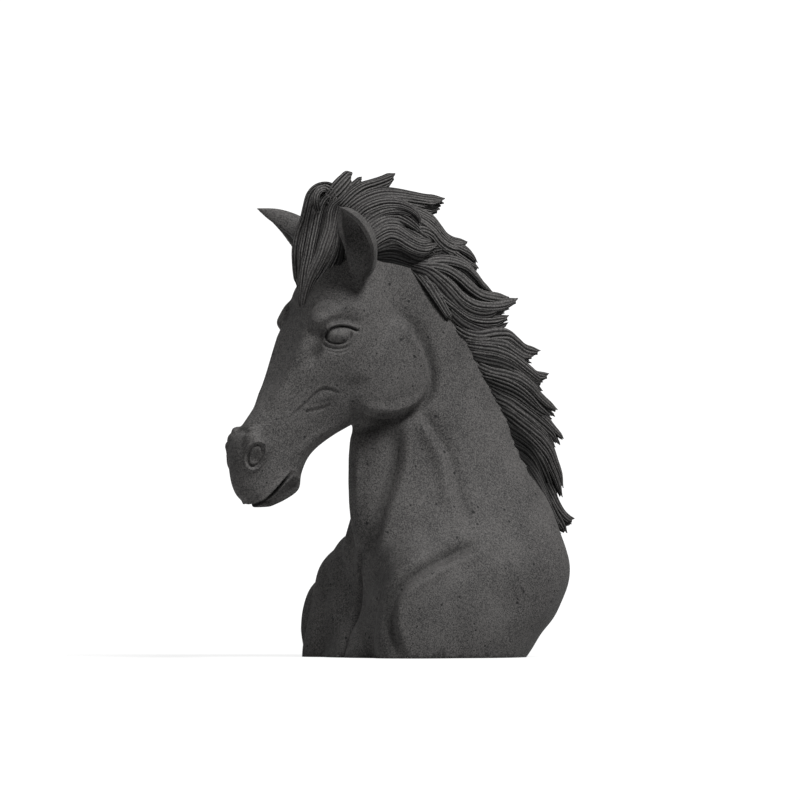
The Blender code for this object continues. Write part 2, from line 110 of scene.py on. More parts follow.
def with_painted_shade(mesh, values):
    """Keeps a value of painted shade for each point, 0 on a ridge and 1 at the bottom of a cut, for the
    finish.
    """
    mesh.attributes.new("hollow", "FLOAT", "POINT").data.foreach_set("value", values.astype(np.float32))


def array_of(items, attribute):
    """A vector of every item as one array, a row for each item."""
    values = np.empty(len(items) * 3, np.float32)
    items.foreach_get(attribute, values)
    return values.reshape(-1, 3).astype(float)


def places_of(mesh):
    return array_of(mesh.vertices, "co") / SHARE


def normals_of(mesh):
    return array_of(mesh.vertex_normals, "vector")


def added(name, data):
    obj = bpy.data.objects.new(name, data)
    bpy.context.scene.collection.objects.link(obj)
    return obj


def placed(name, mesh):
    """A smoothly shaded object in the scene."""
    mesh.shade_smooth()
    mesh.calc_loop_triangles()
    return added(name, mesh)


# %% [markdown]
# The neck, chest and head are ovals carried from section to section. An oval here is a superellipse:
# a circle whose cosine and sine are raised to a power below one, which squares its corners. The
# forehead and the front of the chest are squarer than the back, so each half has a power of its own.

# %% Sections of the trunk and the head
# Front (y, z), back (y, z), half width, squareness of the front and of the back, from below the
# cut to the poll.
TRUNK = (
    (-20.6, -5.0, 16.0, -5.0, 20.0, 2.3, 2.0),
    (-19.9, 0.0, 20.9, 0.0, 21.0, 2.3, 2.0),
    (-18.4, 5.0, 24.5, 4.6, 21.1, 2.4, 2.0),
    (-15.8, 10.0, 28.6, 9.2, 21.1, 2.5, 2.0),
    (-15.4, 19.0, 32.3, 17.5, 20.4, 2.6, 2.0),
    (-16.4, 27.0, 30.6, 26.7, 16.2, 1.9, 2.0),
    (-17.3, 36.0, 26.0, 37.4, 12.0, 1.5, 2.2),
    (-17.4, 45.0, 22.0, 48.0, 9.2, 1.45, 2.4),
    (-16.2, 53.8, 14.8, 60.6, 7.4, 1.6, 2.6),
    (-16.4, 59.5, 7.6, 69.0, 6.9, 1.9, 2.8),
    (-19.3, 63.7, 1.2, 75.6, 6.8, 2.0, 2.8),
    (-22.4, 67.8, -7.0, 84.6, 6.4, 2.0, 2.6),
    (-25.5, 74.0, -18.0, 89.0, 5.6, 2.0, 2.0),
)

# Brow side (y, z), jaw side (y, z), half width, lean of the width to the brow, squareness.
HEAD = (
    (-21.8, 86.5, -9.0, 80.0, 5.6, 0.0, 2.2),
    (-27.2, 77.8, -5.8, 69.0, 7.9, 0.16, 2.8),
    (-29.2, 73.6, -4.4, 63.4, 8.7, 0.18, 3.2),
    (-30.4, 69.4, -4.8, 57.6, 8.8, 0.20, 3.4),
    (-32.8, 63.2, -9.4, 51.6, 7.7, 0.16, 3.4),
    (-35.7, 57.1, -17.8, 47.6, 5.9, 0.08, 3.2),
    (-38.8, 52.4, -23.4, 44.8, 4.9, 0.04, 3.0),
    (-42.6, 47.8, -28.0, 41.3, 4.4, 0.0, 2.8),
    (-45.4, 44.2, -29.9, 37.6, 4.5, 0.0, 2.6),
    (-45.9, 39.0, -30.5, 34.4, 4.3, 0.0, 2.5),
    (-44.8, 33.8, -33.6, 32.4, 3.4, 0.0, 2.3),
    (-41.6, 30.8, -37.0, 30.9, 1.6, 0.0, 2.0),
)
OVAL_STEPS = 6
OVAL_POINTS = 64


def ovals(rows, lean, front_square, back_square):
    """x = half width * sin^p * (1 + lean * depth), and depth = cos^p runs from the back to the front."""
    angle = np.arange(OVAL_POINTS) * 2 * math.pi / OVAL_POINTS
    along, across = np.cos(angle)[None], np.sin(angle)[None]
    power = np.where(along > 0, 2 / front_square[:, None], 2 / back_square[:, None])
    depth = np.sign(along) * np.abs(along) ** power
    width = np.sign(across) * np.abs(across) ** power * (1 + lean[:, None] * depth)
    front, back, half_width = rows[:, None, 0:2], rows[:, None, 2:4], rows[:, 4:5]
    side = (front + back) / 2 + depth[..., None] * (front - back) / 2
    return np.concatenate([(width * half_width)[..., None], side], axis=-1)


def trunk():
    rows = spline(TRUNK, OVAL_STEPS)
    return ovals(rows, np.full(len(rows), -0.06), rows[:, 5], rows[:, 6])


def head():
    rows = spline(HEAD, OVAL_STEPS)
    return ovals(rows, rows[:, 5], rows[:, 6], np.full(len(rows), 2.3))


print("trunk", trunk().shape, "head", head().shape)

# %% [markdown]
# Flesh is added as a sculptor adds pellets of clay: rounded masses for the shoulders, the breast,
# the round cheeks, the brows and the chin. Each is a ball stretched to three radii and tipped about
# the X axis. They only need to lie roughly right, because smoothing runs them into their neighbours.

# %% Rounded masses
# Middle (x, y, z), radii, turn about X in degrees.
MASSES = {
    "shoulder blade": ((12.5, 0.0, 6.0), (9.6, 15.0, 17.6), 8.0),
    "point of shoulder": ((14.3, -9.4, 2.0), (7.6, 10.2, 21.0), 0.0),
    "breast": ((8.0, -9.2, 6.0), (8.6, 8.8, 14.0), 0.0),
    "collar": ((10.4, -8.6, 15.0), (6.6, 7.4, 11.0), 0.0),
    "brow": ((6.5, -26.4, 69.2), (3.0, 4.6, 4.6), 0.0),
    "jowl": ((5.6, -12.8, 59.8), (4.0, 11.2, 11.0), 0.0),
    "nostril": ((3.2, -42.0, 43.4), (1.9, 2.6, 4.2), 20.0),
    "chin": ((1.6, -35.0, 35.4), (2.0, 3.8, 2.7), 20.0),
}


def ball(middle, radii, turn, side):
    """x = sin(v) cos(u), y = sin(v) sin(u), z = cos(v), stretched to the radii and turned about X."""
    v = np.linspace(0.03, math.pi - 0.03, 30)[:, None]
    u = np.linspace(0, 2 * math.pi, 48, endpoint=False)[None]
    grid = np.stack([np.sin(v) * np.cos(u), np.sin(v) * np.sin(u), np.cos(v) * np.ones_like(u)], -1)
    grid = grid * radii
    c, s = math.cos(math.radians(turn)), math.sin(math.radians(turn))
    y, z = grid[..., 1] * c - grid[..., 2] * s, grid[..., 1] * s + grid[..., 2] * c
    return np.stack([grid[..., 0], y, z], -1) + np.array(middle) * (side, 1, 1)


# %% [markdown]
# An ear is a cupped leaf. Its section is a crescent: an outer arc and, one wall inside it, an inner
# arc back. The crescent is carried up a bowed axis while it narrows to a point and opens out, and it
# faces forwards and a little to the side, as a listening horse holds its ears.

# %% The ears
EAR_AXIS = np.array(((7.4, -20.9, 78.0), (12.3, -21.2, 84.5), (16.3, -30.3, 92.1)))
EAR_HALF_WIDTHS = ((2.4,), (3.4,), (3.75,), (3.85,), (3.3,), (2.2,), (0.1,))
EAR_WALL = 1.1
EAR_DEPTH = 1.5
EAR_OPENS = np.array((0.72, -0.64, 0.12))


def bowed(points, t):
    """A quadratic Bezier curve: (1 - t)^2 a + 2 t (1 - t) b + t^2 c."""
    return (1 - t) ** 2 * points[0] + 2 * t * (1 - t) * points[1] + t**2 * points[2]


def ear(side):
    """Crescents from 70 degrees on the inner side to 112 degrees on the outer one, filled at the root."""
    flip = (side, 1, 1)
    half = spline(EAR_HALF_WIDTHS, 8)
    t = np.linspace(0, 1, len(half))[:, None]
    axis = bowed(EAR_AXIS * flip, t)
    heading = unit(np.gradient(axis, axis=0))
    across = unit(np.cross(EAR_OPENS * flip, heading)) * side
    towards = np.cross(heading, across) * side
    wall = np.minimum(EAR_WALL, half * 0.6)
    bend = np.radians(np.linspace(-112, 70, 40))[None]
    sideways = np.sin(bend)[..., None] * across[:, None]
    inwards = -EAR_DEPTH * np.cos(bend)[..., None] * towards[:, None]
    hollow = ramp(t, 0.25, 0.65)[..., None]
    outer = axis[:, None] + half[..., None] * (sideways + inwards)
    inner = axis[:, None] + (half - wall)[..., None] * (sideways + hollow * inwards)[:, ::-1]
    return np.concatenate([outer, inner], axis=1)


print("ear", ear(1).shape)

# %% [markdown]
# The forms are fused with a voxel remesh, which keeps only the outer skin of everything that
# overlaps. Smoothing then melts the seams, as a wet sponge does on clay. The ears are thin, so they
# get far less of it: a vertex group tells the Smooth modifier how much each point may move.

# %% Fuse and soften
GRAIN = 0.0013
SOFT_ROUNDS = 60
CHEST_ROUNDS = 160
EAR_SOFTNESS = 0.1
EAR_EDGE = (4.0, 7.5)
CHEST_TOP = (17, 30)


def shown(obj):
    """The mesh that the object's modifiers give; the object itself goes."""
    bpy.context.scene.collection.objects.link(obj)
    graph = bpy.context.evaluated_depsgraph_get()
    mesh = bpy.data.meshes.new_from_object(obj.evaluated_get(graph))
    bpy.data.objects.remove(obj, do_unlink=True)
    return mesh


def fused(name, mesh, grain):
    rough = bpy.data.objects.new(name, mesh)
    voxels = rough.modifiers.new("voxels", "REMESH")
    voxels.mode = "VOXEL"
    voxels.voxel_size = grain
    return shown(rough)


def group_points(obj, name, weights, levels=12):
    """A vertex group with the weights rounded to a few levels, one call for each level."""
    group = obj.vertex_groups.new(name=name)
    steps = np.round(weights * levels).astype(int)
    for level in range(1, levels + 1):
        group.add(np.flatnonzero(steps == level).tolist(), level / levels, "REPLACE")
    return group.name


def off_ear_axis(points, low, high, count):
    """Distance to the nearest of a few points on the ear's axis, between two shares of its length."""
    line = bowed(EAR_AXIS, np.linspace(low, high, count)[:, None])
    return np.min([np.linalg.norm(points - at, axis=1) for at in line], axis=0)


def softened(mesh):
    """Rounds of smoothing for the whole clay but its ears, then wider rounds for the chest alone."""
    points = places_of(mesh)
    points[:, 0] = abs(points[:, 0])
    body = EAR_SOFTNESS + (1 - EAR_SOFTNESS) * ramp(off_ear_axis(points, 0.3, 1, 12), *EAR_EDGE)
    chest = 1 - ramp(points[:, 2], *CHEST_TOP)
    clay = bpy.data.objects.new("clay", mesh)
    for name, rounds, weights in (("sponge", SOFT_ROUNDS, body), ("wide sponge", CHEST_ROUNDS, chest)):
        sponge = clay.modifiers.new(name, "SMOOTH")
        sponge.factor = 0.5
        sponge.iterations = rounds
        sponge.vertex_group = group_points(clay, name, weights)
    return shown(clay)


masses = [ball(*mass, side) for mass in MASSES.values() for side in (1, -1)]
clay = softened(fused("clay", mesh_of("clay", [trunk(), head(), ear(1), ear(-1), *masses]), GRAIN))
print("points in the clay:", len(clay.vertices))

# %% [markdown]
# Carving is drawn where the eye sees it. A view 58 degrees round from the front has two axes:
# across, which is x cos + y sin of that angle, and up. Every groove, ridge and hollow is a short
# line or an ellipse in that view, and the skin that faces it moves along its own normals. Both sides
# of the horse are carved alike, the far side as in a mirror.

# %% Lines and swellings
THREE_QUARTER = math.radians(58.0)
TOWARDS_EYE = np.array((math.sin(THREE_QUARTER), -math.cos(THREE_QUARTER), 0))
RIGHTWARDS = np.array((math.cos(THREE_QUARTER), math.sin(THREE_QUARTER), 0))

# Points in thousandths of the height, across and up by turns; then half width, depth and lift. A
# negative depth is a ridge, and lift raises the skin to the left of the line, seen along it.
LINES = {
    "ridge of the windpipe": ((-134, 500, -134, 384, -134, 265, -129, 199, -123, 138), 0.7, -0.4, 0.0),
    "jugular groove": ((-44, 496, -49, 446, -55, 388, -70, 339, -84, 300, -104, 230, -119, 164), 1.5, 1.2,
     0.5),
    "neck muscle": ((-6, 506, 13, 474, 52, 409, 73, 331, 84, 290, 84, 236), 1.2, 0.55, -0.35),
    "band of the neck muscle": ((-11, 496, 24, 426, 42, 360, 52, 290), 1.3, -0.4, 0.0),
    "front of the shoulder": ((140, 246, 107, 226, 60, 208, 8, 179, -24, 160, -49, 136, -62, 106, -62, 64,
     -51, 26, -30, -40), 1.2, 0.9, 0.7),
    "back of the shoulder": ((134, 236, 154, 214, 171, 194, 180, 158, 186, 111, 180, 70), 1.5, 0.6, 0.0),
    "edge of the cheek": ((-154, 512, -117, 502, -76, 497, -40, 503, -14, 516, 4, 534, 14, 561, 12, 596, 3,
     624, -12, 655, -36, 686, -70, 720), 0.9, 0.6, 0.9),
    "brow": ((-226, 660, -216, 678, -204, 694, -188, 706, -170, 714, -150, 719, -133, 713, -120, 698, -114,
     676), 1.2, -0.35, 0.0),
    "hollow above the eye": ((-212, 669, -199, 682, -182, 690, -160, 694, -139, 688, -125, 674), 0.8, 0.4,
     0.0),
    "rim of the eye": ((-203, 646, -198.5, 657, -193, 667, -179, 675, -162, 678.5, -146, 676, -134, 671,
     -123, 666), 0.26, 0.75, 0.28),
    "edge of the lower lid": ((-203, 663, -196, 651, -188, 645, -173.5, 642, -157, 645, -147, 654, -144, 664,
     -144, 676), 0.24, 0.55, -0.15),
    "fold under the lower lid": ((-206, 646, -198, 637, -186, 632, -172, 630, -156, 633, -141, 643), 0.22,
     0.3, -0.1),
    "second fold under the lid": ((-201, 631, -186, 625, -170, 623, -154, 627, -143, 633), 0.2, 0.16, -0.05),
    "side of the nose": ((-220, 706, -239, 652, -251, 622, -267, 586, -288, 542, -316, 494), 1.2, -0.75,
     0.0),
    "fold of the cheek": ((-274, 489, -260, 503, -242, 519, -227, 534, -211, 548, -197, 552, -180, 547, -162,
     538), 0.36, 0.2, 0.16),
    "lower fold": ((-244, 504, -230, 507, -214, 511, -199, 515, -186, 521), 0.34, 0.16, 0.14),
    "edge of the jaw bone": ((-256, 412, -240, 434, -214, 456, -170, 482), 0.8, -0.3, 0.0),
    "crease above the nostril": ((-384, 468, -355, 462, -334, 462, -310, 442), 0.7, 0.35, 0.0),
    "mouth": ((-380, 317, -360, 312, -344, 314, -325, 322, -310, 334, -294, 351, -279, 368, -260, 385), 0.38,
     1.7, 0.7),
    "inset of the lower lip": ((-344, 302, -316, 310, -292, 328, -270, 350, -252, 370), 1.5, 1.2, 0.5),
    "edge of the lower lip": ((-352, 306, -330, 313, -312, 325, -294, 342, -278, 360, -262, 376), 0.3, -0.5,
     0.0),
}

# The same for lines seen from straight in front, where across is the distance from the middle.
FRONT_LINES = {
    "middle of the chest": ((0, 260, 0, 180, 0, 100, 0, 40, 0, -40), 1.0, 1.0, 0.0),
}

# Middle (across, up), radii, turn in degrees, height.
SWELLINGS = {
    "eye socket": ((-17.4, 66.0), (4.2, 2.8), 12.0, -1.2),
    "eyeball": ((-17.2, 65.9), (2.7, 1.5), 5.0, 1.5),
    "slope above the brow": ((-20.1, 71.4), (2.8, 2.0), 20.0, -1.0),
    "inner corner": ((-21.0, 66.0), (1.4, 1.9), 0.0, -0.8),
    "hollow before the eye": ((-21.9, 62.2), (2.4, 1.3), 65.0, -1.2),
    "hollow of the cheek": ((-13.6, 55.6), (2.4, 1.8), 10.0, -0.6),
    "cheek muscle": ((-20.4, 53.2), (2.2, 0.9), 25.0, 0.3),
    "throat under the jaw": ((-10.6, 47.2), (2.8, 1.3), 15.0, -1.0),
    "temple": ((-14.0, 75.6), (3.4, 1.6), 0.0, -0.25),
    "flare of the nostril": ((-34.2, 41.4), (3.4, 2.6), 73.0, 0.6),
    "nostril": ((-34.1, 41.3), (1.7, 1.0), 73.0, -0.9),
    "hollow under the nostril": ((-31.2, 40.6), (2.4, 1.0), 60.0, -0.4),
}

# Rings: middle (across, up), radii, turn in degrees, half width, height. A negative height is a cut.
RINGS = {
    "rim of the nostril": ((-34.3, 41.4), (2.95, 1.9), 73.0, 0.26, 0.45),
    "cut inside the rim": ((-34.2, 41.4), (2.3, 1.35), 73.0, 0.26, -0.5),
}


# %% Relief of the skin
# Heading (x, y, z) and phase of each wave of the hand's unevenness.
WAVES = ((0.21, 0.33, 0.17, 0.4), (-0.37, 0.19, 0.29, 1.9), (0.45, -0.41, 0.12, 3.1), (0.1, 0.5, -0.6, 5.0))
WAVE_PACE = 2.2
UNEVENNESS = 0.05


def offset_along(points, line):
    """Distance to the nearest piece of a line, how far left of it, and a fade towards its ends."""
    distance = np.full(len(points), np.inf)
    leftwards = np.zeros(len(points))
    share = np.zeros(len(points))
    for k, (a, b) in enumerate(zip(line[:-1], line[1:])):
        run = b - a
        t = np.clip((points - a) @ run / (run @ run), 0, 1)
        off = points - a - t[:, None] * run
        far = np.linalg.norm(off, axis=1)
        nearer = far < distance
        distance = np.where(nearer, far, distance)
        leftwards = np.where(nearer, off @ np.array((-run[1], run[0])) / np.linalg.norm(run), leftwards)
        share = np.where(nearer, (k + t) / (len(line) - 1), share)
    fade = ramp(np.minimum(share, 1 - share), 0, 1 / 5)
    return distance, leftwards, fade


def line_relief(seen, line, half_width, depth, lift):
    """-depth * exp(-(d / w)^2) for the groove, and lift * left / w * exp(1/2 - d^2 / 2 w^2)."""
    rise = np.zeros(len(seen))
    line = spline(np.reshape(line, (-1, 2)) / 10, 6)
    low, high = line.min(0) - 4 * half_width, line.max(0) + 4 * half_width
    near = np.flatnonzero(((seen > low) & (seen < high)).all(axis=1))
    distance, leftwards, fade = offset_along(seen[near], line)
    part = (distance / half_width) ** 2
    step = lift * leftwards / half_width * np.exp(0.5 - 0.5 * part)
    rise[near] = fade * (step - depth * np.exp(-part))
    return rise


def away_from(seen, middle, radii, turn):
    """Distance from the middle of a turned ellipse, measured in its own radii."""
    c, s = math.cos(math.radians(turn)), math.sin(math.radians(turn))
    return np.linalg.norm((seen - middle) @ np.array(((c, -s), (s, c))) / radii, axis=1)


def relief(seen):
    """Everything that is drawn in the three-quarter view, added up."""
    rise = sum(line_relief(seen, *line) for line in LINES.values())
    for middle, radii, turn, height in SWELLINGS.values():
        rise += height * np.exp(-away_from(seen, middle, radii, turn) ** 2)
    for middle, radii, turn, half_width, height in RINGS.values():
        off = (away_from(seen, middle, radii, turn) - 1) * np.mean(radii) / half_width
        rise += height * np.exp(-off**2)
    return rise


def undulation(points):
    """The hand's unevenness: a few slow waves of different lengths and headings, added up."""
    return sum(np.sin(points @ np.array(wave[:3]) * WAVE_PACE + wave[3]) for wave in WAVES) / len(WAVES)


def three_quarter(points, normals):
    """Where each point lies in the view of its own side, and 0 to 1 for how much it faces that view."""
    out = abs(points[:, 0])
    c, s = math.cos(THREE_QUARTER), math.sin(THREE_QUARTER)
    faces = np.where(points[:, 0] < 0, -1.0, 1.0) * normals[:, 0] * s - normals[:, 1] * c
    return np.column_stack([out * c + points[:, 1] * s, points[:, 2]]), ramp(faces, 0, 0.35)


def relief_at(points, normals):
    """The relief at each point, faded out where the skin turns away from the view it was drawn in."""
    seen, facing = three_quarter(points, normals)
    rise = relief(seen) * facing
    front = np.column_stack([abs(points[:, 0]), points[:, 2]])
    cuts = sum(line_relief(front, *line) for line in FRONT_LINES.values())
    return rise + cuts * ramp(-normals[:, 1], 0.1, 0.5)


def carve(mesh):
    """Moves every point along its normal by the relief and the unevenness there."""
    points, normals = places_of(mesh), normals_of(mesh)
    rise = relief_at(points, normals)
    points += normals * (rise + UNEVENNESS * undulation(points))[:, None]
    mesh.vertices.foreach_set("co", (points * SHARE).ravel())
    mesh.update()
    return rise


rise = carve(clay)
print("deepest cut", round(rise.min() * SHARE * 1000, 1), "mm, highest ridge",
      round(rise.max() * SHARE * 1000, 1), "mm")

# %% [markdown]
# The caster saws the underside flat, so the clay below the floor goes. Then the skin is thinned:
# Decimate takes faces away where the surface is nearly flat, and leaves the lids and the nostrils
# their fine ones.

# %% Trim and thin the skin
BUST_FACES = 188000
FACE_CARE = 0.03


def trimmed(mesh):
    """Cuts everything below z = 0 away and closes the cut with one flat face."""
    whole = bmesh.new()
    whole.from_mesh(mesh)
    everything = list(whole.verts) + list(whole.edges) + list(whole.faces)
    cut = bmesh.ops.bisect_plane(whole, geom=everything, plane_co=(0, 0, 0), plane_no=(0, 0, 1),
                                 clear_inner=True)
    edges = [e for e in cut["geom_cut"] if isinstance(e, bmesh.types.BMEdge)]
    bmesh.ops.holes_fill(whole, edges=edges)
    whole.to_mesh(mesh)
    whole.free()
    return mesh


def thinned(name, mesh, faces):
    """Takes faces away, hardly any from the face: forward of y = -20 and between z = 28 and z = 76."""
    obj = bpy.data.objects.new(name, trimmed(mesh))
    points = places_of(mesh)
    face = ramp(-points[:, 1], 20, 24) * ramp(points[:, 2], 28, 31) * (1 - ramp(points[:, 2], 72, 76))
    mesh.calc_loop_triangles()
    fewer = obj.modifiers.new("fewer faces", "DECIMATE")
    fewer.ratio = min(1.0, faces / len(mesh.loop_triangles))
    fewer.vertex_group = group_points(obj, "face", face)
    fewer.invert_vertex_group = True
    fewer.vertex_group_factor = FACE_CARE
    return shown(obj)


skin = placed("horse_skin", thinned("skin", clay, BUST_FACES))
print("triangles of the skin:", len(skin.data.loop_triangles))

# %% [markdown]
# Shade is painted into the skin's colour where little light reaches: in its cuts, in the cups of
# the ears and towards the bottom. The share of painted shade is kept as a value of each point, and
# the finish reads it.

# %% Painted shade on the skin
THIN = 0.4
PAINTED_SHADE_IN_CUTS = 0.6
PAINTED_SHADE_IN_THIN_CUTS = 0.55
PAINTED_SHADE_IN_EARS = 0.3
PAINTED_SHADE_LOW_DOWN = 0.22


def painted_shade_of_skin(mesh):
    """Shares of painted shade for the depth of the cut, of the thin cuts, for the cup of the ear, and towards
    the bottom.
    """
    places, normals = places_of(mesh), normals_of(mesh)
    cut = -relief_at(places, normals)
    seen, facing = three_quarter(places, normals)
    thin_cut = -facing * sum(line_relief(seen, *line) for line in LINES.values() if line[1] < THIN)
    mirror = np.where(places[:, 0] < 0, -1.0, 1.0)[:, None] * (1, 0, 0) + (0, 1, 1)
    near_ear = 1 - ramp(off_ear_axis(places * mirror, 0.35, 0.85, 9), 2.6, 4.2)
    # Painted shade inside the cup of the ear, where it faces the opening.
    in_ear = near_ear * ramp((normals * mirror) @ unit(EAR_OPENS), 0.35, 0.8)
    # Painted shade in the cuts: the deeper the cut, the darker.
    marks = PAINTED_SHADE_IN_CUTS * ramp(cut, 0.3, 2.0) + PAINTED_SHADE_IN_THIN_CUTS * ramp(thin_cut, 0.2, 0.8)
    # Painted shade, darker towards the bottom of the bust.
    low_down = PAINTED_SHADE_LOW_DOWN * (1 - ramp(places[:, 2], 4, 30))
    return np.clip(marks + PAINTED_SHADE_IN_EARS * in_ear + low_down, 0, 1)


with_painted_shade(skin.data, painted_shade_of_skin(skin.data))

# %% [markdown]
# The mane is carved hair: broad locks that spring from the neck, swing over one another and end in
# blunt, split tips. One lock is a flat lens carried along its path, and the strands are narrow
# grooves along the lens. Sweeping each lock keeps its grooves sharp, which a sculpted skin of the
# same size can't. Paths are drawn in the three-quarter view, where the hair is seen best, and the
# root of each runs on below the skin.

# %% Paths of the mane
# Points in thousandths as above, how far out from the middle the root and the tip lie, the width,
# and how much the lock faces up. A root without a number lies on the skin.
CROWN_LOCKS = (
    ((-178, 945, -168, 959, -156, 975, -149, 981), 1.2, 0.8, 4.7, 0.5),
    ((-170, 936, -156, 951, -139, 965, -127, 977), 1.8, 1.2, 2.5, 0.5),
    ((-164, 926, -146, 943, -125, 957, -102, 965, -82, 973, -61, 984), 3.0, 1.4, 3.3, 0.4),
    ((-158, 912, -137, 928, -113, 940, -84, 947, -51, 945, -18, 940, 11, 936, 39, 936), 4.0, 1.6, 3.6, 0.5),
    ((-80, 934, -47, 932, -18, 926, 6, 922, 29, 916), 3.6, 1.8, 3.3, 0.2),
    ((-141, 893, -127, 910, -107, 922, -82, 930, -55, 930, -31, 922, -14, 908, -4, 887), 5.0, 5.6, 3.3, 0.6),
    ((-129, 881, -115, 899, -94, 912, -72, 918, -47, 918, -28, 910, -16, 897), 5.4, 5.8, 2.5, 0.4),
    ((-123, 873, -109, 887, -90, 899, -70, 906, -49, 903, -35, 895), 5.6, 5.8, 2.2, 0.2),
    ((-117, 862, -102, 877, -86, 889, -68, 895, -49, 891, -37, 879), 5.8, 6.0, 2.2, 0.1),
    ((-111, 852, -94, 867, -78, 877, -59, 879, -43, 871, -26, 860, -8, 852, 13, 850), 6.2, 5.8, 2.5, 0.1),
    ((-104, 844, -88, 856, -70, 864, -53, 860, -37, 850, -18, 840, 2, 836, 25, 842), 6.4, 6.2, 2.8, 0.0),
    ((-98, 836, -80, 844, -61, 848, -43, 842, -24, 832, -4, 825, 17, 832), 6.2, 5.6, 2.2, -0.3),
    ((-96, 830, -76, 836, -55, 836, -37, 828, -18, 817, 2, 815, 19, 821), 5.8, 4.8, 2.2, -0.6),
    ((-94, 821, -72, 823, -53, 819, -35, 811, -16, 807, 4, 809), 5.4, 4.6, 2.2, -0.8),
    ((-90, 813, -68, 811, -47, 805, -28, 799, -10, 797), 5.2, 4.8, 1.9, -0.8),
    ((-76, 910, -53, 908, -31, 897, -14, 883, -2, 867), 5.0, 4.8, 3.9, 0.3),
    ((-55, 885, -28, 875, -4, 860, 17, 842, 31, 821), 5.0, 4.0, 3.6, 0.1),
    ((-39, 842, -14, 834, 11, 830, 37, 832, 60, 825), 4.6, 3.4, 3.3, -0.4),
    ((-28, 920, -6, 912, 17, 899, 33, 881, 47, 864, 64, 854, 87, 850), 4.4, 2.0, 2.5, 0.5),
    ((-18, 903, 4, 891, 23, 875, 37, 858, 54, 846, 72, 842, 87, 846), 5.0, 2.6, 2.5, 0.2),
    ((-22, 873, -2, 877, 17, 869, 29, 854, 43, 840, 60, 832, 76, 836), 5.2, 3.0, 2.5, 0.0),
    ((27, 838, 41, 828, 58, 819, 72, 823), 4.4, 3.0, 1.7, -0.5),
    ((56, 848, 76, 840, 95, 828, 109, 811), 2.8, 1.4, 2.5, 0.4),
    ((52, 836, 70, 823, 91, 809, 111, 797), 3.2, 1.8, 2.5, 0.2),
    ((31, 823, 50, 813, 70, 807, 93, 795), 3.4, 2.4, 2.5, 0.2),
)
